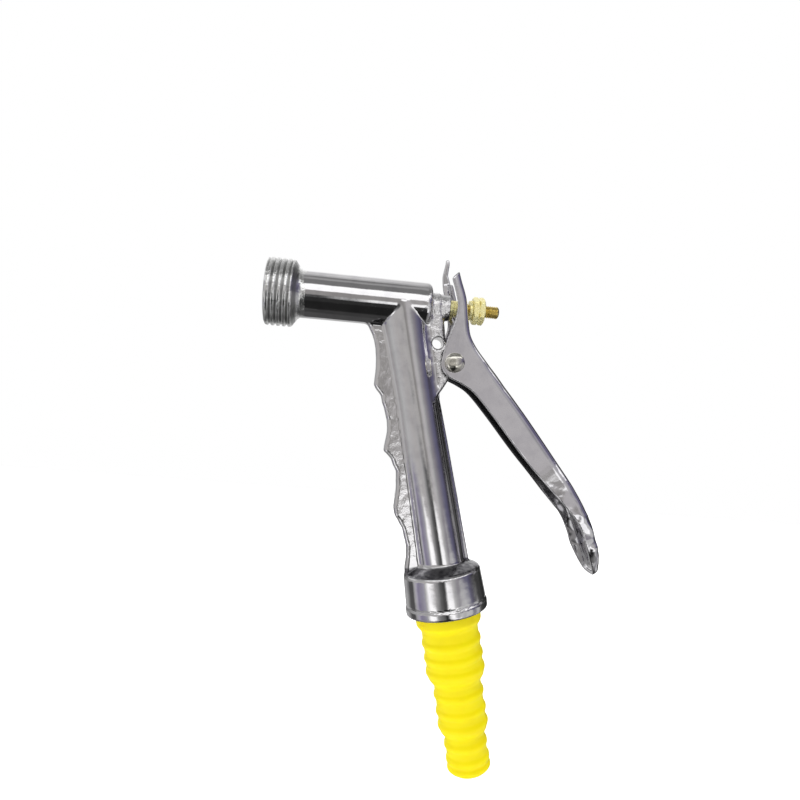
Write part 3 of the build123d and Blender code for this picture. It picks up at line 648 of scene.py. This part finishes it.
def plated(name, light, dark, rough, wave=0.02, grain=0.004, pits=0.0, wear=0.0, rough_cast=0.0, mottled=0.25, zones=(), painted_hollow_shade=False, painted_groove_shade=None, grip=False):
    """Nickel-chrome plate on zinc or steel: uneven under the plate, hazy and finely pitted on top. Can also paint shade
    by position: on the collar's cone, in the thread roots and on the lever's hollow side.
    """
    m, nt, b, v = new_mat(name)
    cloud = noise(nt, v, 0.16, 4.0, 0.55)
    fine = noise(nt, v, 1.7, 5.0, 0.6)
    lines = noise(nt, v, 1.2, 3.0, 0.6, stretch=(0.08, 1.0, 0.35))
    col = ramp(nt, cloud, [(0.30, dark), (0.52, light), (0.75, tuple(min(1, c * 1.04) for c in light))])
    col = mix(nt, remap(nt, fine, 0.62, 0.80, 0.0, mottled), col, tuple(c * 0.72 for c in dark))
    speck = remap(nt, cells(nt, v, 0.85), 0.0, 0.16, 1.0, 0.0)
    spotty = math(nt, "MULTIPLY", speck, remap(nt, noise(nt, v, 0.35, 2.0), 0.50, 0.62, 0.0, 1.0))
    col = mix(nt, math(nt, "MULTIPLY", spotty, wear), col, (0.30, 0.29, 0.30))
    nt.links.new(col, b.inputs["Base Color"])
    r = math(nt, "ADD", remap(nt, cloud, 0.3, 0.7, rough[0], rough[1]), remap(nt, lines, 0.55, 0.75, 0.0, 0.05))
    r = math(nt, "ADD", r, math(nt, "MULTIPLY", spotty, 0.22))
    nt.links.new(r, b.inputs["Roughness"])
    b.inputs["Metallic"].default_value = 1.0
    zone = None
    for centre, r0, r1 in zones:                            # coarse, unpolished casting round these points
        dn = nt.nodes.new("ShaderNodeVectorMath")
        dn.operation = "DISTANCE"
        nt.links.new(v, dn.inputs[0])
        dn.inputs[1].default_value = centre
        z1 = remap(nt, dn.outputs["Value"], r0, r1, 1.0, 0.0, True)
        zone = z1 if zone is None else math(nt, "MAXIMUM", zone, z1)
    if grip:                                                # round the handle: rib and ear keep the cast skin, the tube is polished
        pg = nt.nodes.new("ShaderNodeSeparateXYZ")
        nt.links.new(v, pg.inputs[0])
        gx = math(nt, "SUBTRACT", pg.outputs[0], GRIP_X)
        gn = math(nt, "ADD", math(nt, "MULTIPLY", gx, GN[0]), math(nt, "MULTIPLY", pg.outputs[2], GN[1]))
        gt = math(nt, "ADD", math(nt, "MULTIPLY", gx, GD[0]), math(nt, "MULTIPLY", pg.outputs[2], GD[1]))
        grd = math(nt, "SQRT", math(nt, "ADD", math(nt, "MULTIPLY", gn, gn), math(nt, "MULTIPLY", pg.outputs[1], pg.outputs[1])))
        off = remap(nt, grd, 9.3, 10.5, 0.0, 1.0, True)
        zone = math(nt, "MULTIPLY", zone, math(nt, "MAXIMUM", off, remap(nt, pg.outputs[2], -8.0, -4.0, 0.0, 1.0, True)))
        rib = math(nt, "MULTIPLY", math(nt, "MULTIPLY", off, remap(nt, gn, -6.0, -2.0, 1.0, 0.0, True)), remap(nt, gt, 98.0, 102.5, 1.0, 0.0, True))
        rib = math(nt, "MULTIPLY", rib, remap(nt, pg.outputs[2], -12.5, -9.8, 1.0, 0.0, True))
        zone = math(nt, "MAXIMUM", zone, math(nt, "MULTIPLY", rib, 0.28))
        # painted shade: the collar's cone is darkened to near black and mottled by noise, standing in for a dark
        # reflection band; it is also made a little rougher
        cone = math(nt, "MULTIPLY", remap(nt, gt, 104.0, 104.9, 0.0, 1.0, True), remap(nt, gt, 107.2, 107.8, 1.0, 0.0, True))
        cone = math(nt, "MULTIPLY", cone, remap(nt, grd, 9.0, 10.2, 0.0, 1.0, True))
        cone = math(nt, "MULTIPLY", cone, remap(nt, noise(nt, v, 0.55, 3.0), 0.38, 0.64, 1.0, 0.72))
        col = mix(nt, math(nt, "MULTIPLY", cone, 0.96), col, (0.075, 0.073, 0.085))
        r = math(nt, "ADD", r, math(nt, "MULTIPLY", cone, 0.06))
    if zone is not None:
        zone = math(nt, "MULTIPLY", zone, remap(nt, noise(nt, v, 0.5, 3.0), 0.30, 0.55, 0.45, 1.0))
        r = math(nt, "ADD", r, math(nt, "MULTIPLY", zone, 0.09))
        nt.links.new(r, b.inputs["Roughness"])
        col = mix(nt, math(nt, "MULTIPLY", zone, 0.8), col, (0.90, 0.89, 0.89))
        nt.links.new(col, b.inputs["Base Color"])
    if painted_groove_shade:                                             # painted shade: the thread's root is darkened to dark grey and made rougher; the crest keeps the plate colour
        pr = nt.nodes.new("ShaderNodeSeparateXYZ")
        nt.links.new(v, pr.inputs[0])
        rad = math(nt, "SQRT", math(nt, "ADD", math(nt, "MULTIPLY", pr.outputs[1], pr.outputs[1]), math(nt, "MULTIPLY", pr.outputs[2], pr.outputs[2])))
        rad = math(nt, "ADD", rad, remap(nt, noise(nt, v, 1.4, 3.0), 0.3, 0.7, -0.22, 0.22))
        outside = remap(nt, rad, 10.6, 11.0, 0.0, 1.0)
        low = math(nt, "MULTIPLY", remap(nt, rad, painted_groove_shade[0], painted_groove_shade[1], 1.0, 0.0, True), outside)
        # painted shade in the thread roots
        col = mix(nt, math(nt, "MULTIPLY", low, 0.68), col, (0.20, 0.205, 0.20))
        nt.links.new(col, b.inputs["Base Color"])
        r = math(nt, "ADD", r, math(nt, "MULTIPLY", low, 0.15))
        nt.links.new(r, b.inputs["Roughness"])
    if painted_hollow_shade:                                               # painted shade: the lever's inner faces, turned towards the hollow between the cheeks, are darkened to near black and made rougher
        nrm = nt.nodes.new("ShaderNodeSeparateXYZ")
        pos = nt.nodes.new("ShaderNodeSeparateXYZ")
        nt.links.new(nt.nodes["Texture Coordinate"].outputs["Normal"], nrm.inputs[0])
        nt.links.new(v, pos.inputs[0])
        facing = math(nt, "MULTIPLY", nrm.outputs[1], math(nt, "SIGN", pos.outputs[1]))
        hollow = math(nt, "MULTIPLY", remap(nt, facing, -0.55, -0.15, 1.0, 0.0, True), math(nt, "MULTIPLY", remap(nt, pos.outputs[2], -78.0, -62.0, 0.50, 1.0, True), remap(nt, pos.outputs[2], -18.0, -10.0, 1.0, 0.0, True)))
        # painted shade on the lever's hollow side
        col = mix(nt, hollow, col, (0.10, 0.10, 0.105))
        nt.links.new(col, b.inputs["Base Color"])
        r = math(nt, "ADD", r, math(nt, "MULTIPLY", remap(nt, hollow, 0.5, 1.0, 0.0, 1.0, True), 0.28))
        nt.links.new(r, b.inputs["Roughness"])
    n = bump(nt, noise(nt, v, 0.11, 2.0, 0.5), wave * 8)
    n = bump(nt, noise(nt, v, 0.42, 2.0, 0.5), wave, n)
    n = bump(nt, fine, grain, n)
    if pits:
        n = bump(nt, remap(nt, cells(nt, v, 0.85), 0.0, 0.2, 0.0, 1.0), pits, n)
    if zone is not None:
        n = bump(nt, math(nt, "MULTIPLY", zone, noise(nt, v, 0.95, 3.0, 0.6)), 0.26, n)
    if rough_cast:
        n = bump(nt, noise(nt, v, 0.9, 3.0, 0.55), rough_cast, n)
    nt.links.new(n, b.inputs["Normal"])
    return m


def brass(name, light, dark, rough=(0.16, 0.30), turned=(1.0, 0.12, 0.12), grime=0.5):
    """Turned brass: fine tool rings, a little tarnish in the low places."""
    m, nt, b, v = new_mat(name)
    cloud = noise(nt, v, 0.5, 4.0, 0.6)
    rings = noise(nt, v, 5.0, 2.0, 0.5, stretch=turned)
    spots = noise(nt, v, 2.4, 3.0, 0.6)
    col = ramp(nt, cloud, [(0.28, dark), (0.50, light), (0.74, tuple(min(1, c * 1.06) for c in light))])
    col = mix(nt, remap(nt, spots, 0.60, 0.78, 0.0, grime), col, tuple(c * 0.45 for c in dark))
    nt.links.new(col, b.inputs["Base Color"])
    nt.links.new(math(nt, "ADD", remap(nt, cloud, 0.3, 0.7, rough[0], rough[1]), remap(nt, spots, 0.6, 0.8, 0.0, 0.18)), b.inputs["Roughness"])
    b.inputs["Metallic"].default_value = 1.0
    n = bump(nt, rings, 0.010)
    n = bump(nt, spots, 0.012, n)
    nt.links.new(n, b.inputs["Normal"])
    return m


def plastic(name, light, dark):
    """Moulded plastic: slight cloudiness, fine orange-peel, scuffs along the ribs."""
    m, nt, b, v = new_mat(name)
    cloud = noise(nt, v, 0.12, 4.0, 0.6)
    peel = noise(nt, v, 1.1, 3.0, 0.5)
    scuff = noise(nt, v, 0.9, 5.0, 0.7, stretch=(1.0, 0.25, 1.0))
    col = ramp(nt, cloud, [(0.28, dark), (0.55, light)])
    col = mix(nt, remap(nt, scuff, 0.66, 0.82, 0.0, 0.30), col, tuple(min(1, c * 1.1 + 0.03) for c in light))
    nt.links.new(col, b.inputs["Base Color"])
    nt.links.new(math(nt, "ADD", remap(nt, cloud, 0.3, 0.7, 0.34, 0.46), remap(nt, scuff, 0.6, 0.8, 0.0, 0.15)), b.inputs["Roughness"])
    b.inputs["Subsurface Weight"].default_value = 0.35
    b.inputs["Subsurface Radius"].default_value = (1.0, 0.75, 0.12)
    b.inputs["Subsurface Scale"].default_value = 0.0022
    b.inputs["Specular IOR Level"].default_value = 0.25
    n = bump(nt, noise(nt, v, 0.22, 2.0), 0.05)
    n = bump(nt, peel, 0.012, n)
    nt.links.new(n, b.inputs["Normal"])
    return m


def rubber(name, light, dark):
    m, nt, b, v = new_mat(name)
    cloud = noise(nt, v, 0.4, 4.0, 0.6)
    grain = noise(nt, v, 3.0, 4.0, 0.6)
    col = ramp(nt, cloud, [(0.3, dark), (0.7, light)])
    nt.links.new(mix(nt, remap(nt, grain, 0.6, 0.8, 0.0, 0.5), col, tuple(c * 1.6 for c in light)), b.inputs["Base Color"])
    nt.links.new(remap(nt, grain, 0.3, 0.7, 0.55, 0.75), b.inputs["Roughness"])
    nt.links.new(bump(nt, grain, 0.02), b.inputs["Normal"])
    return m


M_CAST = plated("plated_casting_finish_painted_cone_shade", (0.80, 0.79, 0.80), (0.70, 0.69, 0.71), (0.05, 0.10), wave=0.010, grain=0.0035, pits=0.003, wear=0.22, grip=True,
                zones=(((73.5, -6.0, -20.0), 9.5, 13.5), ((71.5, 0.0, -8.0), 9.0, 12.0), ((70.0, -4.0, -33.0), 5.0, 9.0), ((68.0, -5.0, 0.0), 4.0, 8.0)))
M_HEAD = plated("plated_thread_finish_painted_groove_shade", (0.92, 0.92, 0.91), (0.78, 0.78, 0.78), (0.12, 0.20), wave=0.02, grain=0.040, pits=0.040, wear=0.7, rough_cast=0.17, painted_groove_shade=(12.55, 13.15))
M_LEVER = plated("plated_lever_finish_painted_hollow_shade", (0.79, 0.78, 0.80), (0.70, 0.69, 0.72), (0.06, 0.12), wave=0.008, grain=0.004, pits=0.003, wear=0.4, painted_hollow_shade=True)
M_RIVET = plated("nickel_rivet_finish", (0.86, 0.84, 0.76), (0.72, 0.69, 0.60), (0.12, 0.24), wave=0.02, grain=0.01, pits=0.01, wear=0.6)
M_STEEL = plated("washer_steel_finish", (0.66, 0.66, 0.68), (0.48, 0.48, 0.50), (0.22, 0.36), wave=0.01, grain=0.01, pits=0.006, wear=0.6)
M_SPRING = plated("spring_steel_finish", (0.58, 0.57, 0.56), (0.42, 0.41, 0.41), (0.20, 0.34), wave=0.004, grain=0.008, wear=0.5)
M_BRASS = brass("brass_finish", (1.0, 0.92, 0.48), (0.93, 0.80, 0.30), rough=(0.22, 0.34))
M_BRASS.node_tree.nodes["Principled BSDF"].inputs["Metallic"].default_value = 0.66      # dull skin on raw brass
M_STEM = brass("brass_stem_finish", (0.84, 0.66, 0.22), (0.60, 0.42, 0.09), rough=(0.20, 0.34))
M_YELLOW = plastic("yellow_plastic_finish", (0.86, 0.735, 0.003), (0.83, 0.69, 0.003))
M_YELLOW.node_tree.nodes["Principled BSDF"].inputs["Specular IOR Level"].default_value = 0.16
M_RUBBER = rubber("rubber_finish", (0.035, 0.034, 0.033), (0.018, 0.018, 0.018))


def dress(ob, mat, on, slot, *nodes):
    ob.data.materials.clear()
    ob.data.materials.append(mat)
    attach(ob, on)
    if nodes:
        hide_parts(*nodes)


dress(body, M_CAST, "body", "plated_casting", "nozzle_body")
dress(head, M_HEAD, "body", "plated_casting", "nozzle_body")
dress(lever, M_LEVER, "lever", "plated_lever", "lever")
dress(tail, M_YELLOW, "body", "yellow_plastic", "barb_adapter")
tail.visible_glossy = False
dress(stem, M_STEM, "stem", "brass", "stem")
dress(nut_a, M_BRASS, "nuts", "brass", "adjusting_nut")
dress(nut_b, M_BRASS, "nuts", "brass", "lock_nut")
dress(thrust, M_BRASS, "nut_carriage", "brass", "thrust_washer")
dress(gland, M_BRASS, "body", "brass", "gland_bush")
dress(rivet, M_RIVET, "body", "nickel_rivet", "pivot_rivet")

KEEP = {
    "outlet_seat": M_BRASS, "seat_o_ring": M_RUBBER, "return_spring": M_SPRING, "spring_washer": M_STEEL, "packing_ring": M_RUBBER,
    "packing_washer": M_STEEL, "pivot_washers": M_STEEL, "hose_washer": M_RUBBER, "valve_cone": M_BRASS, "valve_washer": M_RUBBER,
    "valve_disc": M_BRASS, "stem_clip": M_STEEL, "spring_collar": M_BRASS}
for n, m in KEEP.items():
    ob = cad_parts[n]
    if not ob.material_slots:
        ob.data.materials.append(m)
    for s in ob.material_slots:
        s.link = "OBJECT"
        s.material = m


# ------------------------------------------------------------ light and floor
world = bpy.data.worlds.new("studio")
bpy.context.scene.world = world
world.use_nodes = True
wt = world.node_tree
wt.nodes.clear()
wo = wt.nodes.new("ShaderNodeOutputWorld")
tc = wt.nodes.new("ShaderNodeTexCoord")
sep = wt.nodes.new("ShaderNodeSeparateXYZ")
wt.links.new(tc.outputs["Generated"], sep.inputs[0])
dx, dy, dz = sep.outputs
azi = math(wt, "ARCTAN2", dx, math(wt, "MULTIPLY", dy, -1.0))
azf = remap(wt, azi, -pi, pi, 0.0, 1.0)
ele = math(wt, "MULTIPLY", math(wt, "ARCSINE", math(wt, "MULTIPLY", dz, 0.99999)), 180 / pi)


def band(stops):
    return ramp(wt, azf, [((a + 180) / 360.0, c) for a, c in stops])


B_LEVEL = band([
    (-180, 0.85), (-156, 0.45), (-146, 0.22), (-129, 0.30), (-110, 0.42), (-90, 0.46), (-68, (0.46, 0.45, 0.45)), (-49, (0.46, 0.45, 0.44)),
    (-25, (0.50, 0.485, 0.48)), (-8, (0.46, 0.45, 0.44)), (-2, (0.28, 0.27, 0.265)), (4, (0.36, 0.35, 0.34)), (10, (0.50, 0.485, 0.49)), (18, (0.53, 0.515, 0.52)),
    (25, 0.44), (32, (0.33, 0.32, 0.34)), (40, (0.27, 0.255, 0.28)), (49, (0.20, 0.19, 0.24)), (60, (0.145, 0.14, 0.21)), (69, (0.12, 0.115, 0.19)),
    (78, (0.08, 0.075, 0.11)), (90, 0.035), (104, 0.035), (113, 0.07), (121, 0.10), (130, 0.03), (146, 0.012), (151, 0.10), (156, 1.0), (180, 0.85)])
B_LOW = band([
    (-180, 0.50), (-148, 0.42), (-136, 0.26), (-126, 0.10), (-110, 0.09), (-103, 0.42), (-94, (0.47, 0.45, 0.52)), (-86, (0.26, 0.24, 0.34)),
    (-74, (0.30, 0.285, 0.35)), (-66, (0.36, 0.35, 0.42)), (-60, 0.45), (-54, 0.90), (-50, 1.25), (-34, 1.25), (-28, 0.42), (-20, 0.22), (-9, 0.12),
    (-6, 0.03), (9, 0.03), (12, 1.0), (33, 1.25), (38, 0.90), (44, 0.50), (53, 0.62), (72, 0.30), (82, (0.33, 0.32, 0.38)), (92, 0.28), (104, 0.65),
    (110, 0.40), (118, 0.08), (155, 0.40), (180, 0.50)])
B_MIDLOW = band([
    (-180, 0.55), (-160, 0.22), (-148, 0.22), (-125, 0.28), (-114, 0.36), (-89, 0.52), (-68, (0.50, 0.49, 0.49)), (-49, (0.48, 0.465, 0.46)),
    (-32, (0.46, 0.45, 0.45)), (-24, 0.30), (-17, 0.14), (-8, 0.07), (-3, 0.07), (0, 0.50), (3, 1.20), (16, 1.20), (20, 0.70), (26, 0.48), (37, 0.62),
    (44, 0.52), (52, 0.60), (66, 0.56), (71, (0.25, 0.245, 0.28)), (79, (0.27, 0.265, 0.30)), (84, 0.48), (93, 0.52), (99, 0.16), (106, 0.06),
    (118, 0.04), (140, 0.02), (155, 0.55), (180, 0.65)])
B_DOWN = band([
    (-180, 0.07), (-140, 0.10), (-110, 0.30), (-60, 0.38), (-32, 0.30), (-22, 0.02), (22, 0.012), (36, 0.12), (62, 0.25), (95, 0.08), (135, 0.06), (180, 0.07)])
B_UP0 = band([
    (-180, 1.05), (-120, 0.85), (-95, 0.40), (-75, 0.42), (-46, 0.55), (-20, 0.55), (-13, 1.25), (11, 1.25), (18, 0.52), (40, (0.42, 0.405, 0.45)), (54, (0.25, 0.24, 0.31)), (69, (0.11, 0.10, 0.17)), (95, (0.20, 0.185, 0.30)),
    (106, 0.10), (116, 0.03), (142, 0.03), (152, 0.50), (165, 1.05)])
B_SOFT = band([
    (-180, 1.0), (-130, 0.85), (-95, 0.45), (-80, 0.60), (-76, 1.32), (74, 1.32), (79, 0.60), (95, 0.30), (120, 0.10), (140, 0.30), (160, 0.90), (180, 1.0)])
B_HIGH = band([
    (-180, 0.72), (-140, 0.50), (-90, 0.22), (-60, 0.20), (60, 0.20), (90, 0.18), (140, 0.45), (180, 0.72)])
B_TOP = band([
    (-180, 0.55), (-110, 0.32), (-60, 0.36), (60, 0.36), (110, 0.32), (180, 0.55)])
sky = mix(wt, remap(wt, ele, -84, -74, 0, 1, True), 0.05, B_DOWN)
sky = mix(wt, remap(wt, ele, -40, -33, 0, 1, True), sky, B_LOW)
sky = mix(wt, remap(wt, ele, -20, -16, 0, 1, True), sky, B_MIDLOW)
turn = math(wt, "MULTIPLY", remap(wt, azi, 0.55, 0.80, 0.0, 1.0, True), -6.0)      # the dark screen on the right starts a little higher
sky = mix(wt, remap(wt, math(wt, "ADD", ele, turn), -9, -4, 0, 1, True), sky, B_LEVEL)
sky = mix(wt, remap(wt, ele, 13, 16, 0, 1, True), sky, B_UP0)
sky = mix(wt, remap(wt, ele, 31, 34, 0, 1, True), sky, B_SOFT)
sky = mix(wt, remap(wt, ele, 42, 47, 0, 1, True), sky, B_HIGH)
sky = mix(wt, remap(wt, ele, 70, 75, 0, 1, True), sky, B_TOP)
sky = mix(wt, remap(wt, ele, 80, 87, 0, 1, True), sky, 0.22)
lp = wt.nodes.new("ShaderNodeLightPath")
col = mix(wt, lp.outputs["Is Diffuse Ray"], sky, (0.30, 0.30, 0.31))
col = mix(wt, lp.outputs["Is Camera Ray"], col, (1.0, 1.0, 1.0))
bg = wt.nodes.new("ShaderNodeBackground")
wt.links.new(col, bg.inputs["Color"])
bg.inputs["Strength"].default_value = 1.0
wt.links.new(bg.outputs[0], wo.inputs["Surface"])

lo, hi = cad_lo, cad_hi
fz = lo.z - 0.075
me = bpy.data.meshes.new("floor")
S = 1.5
me.from_pydata([(-S, -S, fz), (S, -S, fz), (S, S, fz), (-S, S, fz)], [], [(0, 1, 2, 3)])
floor = bpy.data.objects.new("floor", me)
bpy.context.scene.collection.objects.link(floor)
fm, fnt, fb, fv = new_mat("floor_paper")
fcol = ramp(fnt, noise(fnt, fv, 0.01, 3.0), [(0.3, (0.93, 0.93, 0.93)), (0.7, (0.95, 0.95, 0.95))])
fnt.links.new(fcol, fb.inputs["Base Color"])
fb.inputs["Roughness"].default_value = 0.9
fnt.links.new(fcol, fb.inputs["Emission Color"])
fb.inputs["Emission Strength"].default_value = 0.62
fb.inputs["Specular IOR Level"].default_value = 0.1
me.materials.append(fm)
floor.visible_glossy = False


def area(name, loc, aim, size, power, colour=(1, 1, 1)):
    d = bpy.data.lights.new(name, "AREA")
    d.shape = "RECTANGLE"
    d.size, d.size_y = size
    d.energy = power
    d.color = colour
    o = bpy.data.objects.new(name, d)
    o.location = loc
    o.rotation_mode = "QUATERNION"
    o.rotation_quaternion = (Vector(aim) - Vector(loc)).to_track_quat("-Z", "Y")
    bpy.context.scene.collection.objects.link(o)
    o.visible_glossy = False
    o.visible_camera = False
    return o


centre = (lo + hi) / 2
area("key", (centre.x - 0.45, -0.75, centre.z + 0.75), centre, (0.5, 0.5), 2.9)
area("fill", (centre.x + 0.7, -0.5, centre.z + 0.2), centre, (0.6, 0.8), 0.35)
area("floor_wash", (centre.x, 0.3, centre.z + 1.3), (centre.x, 0.6, fz), (2.0, 2.0), 26.0)
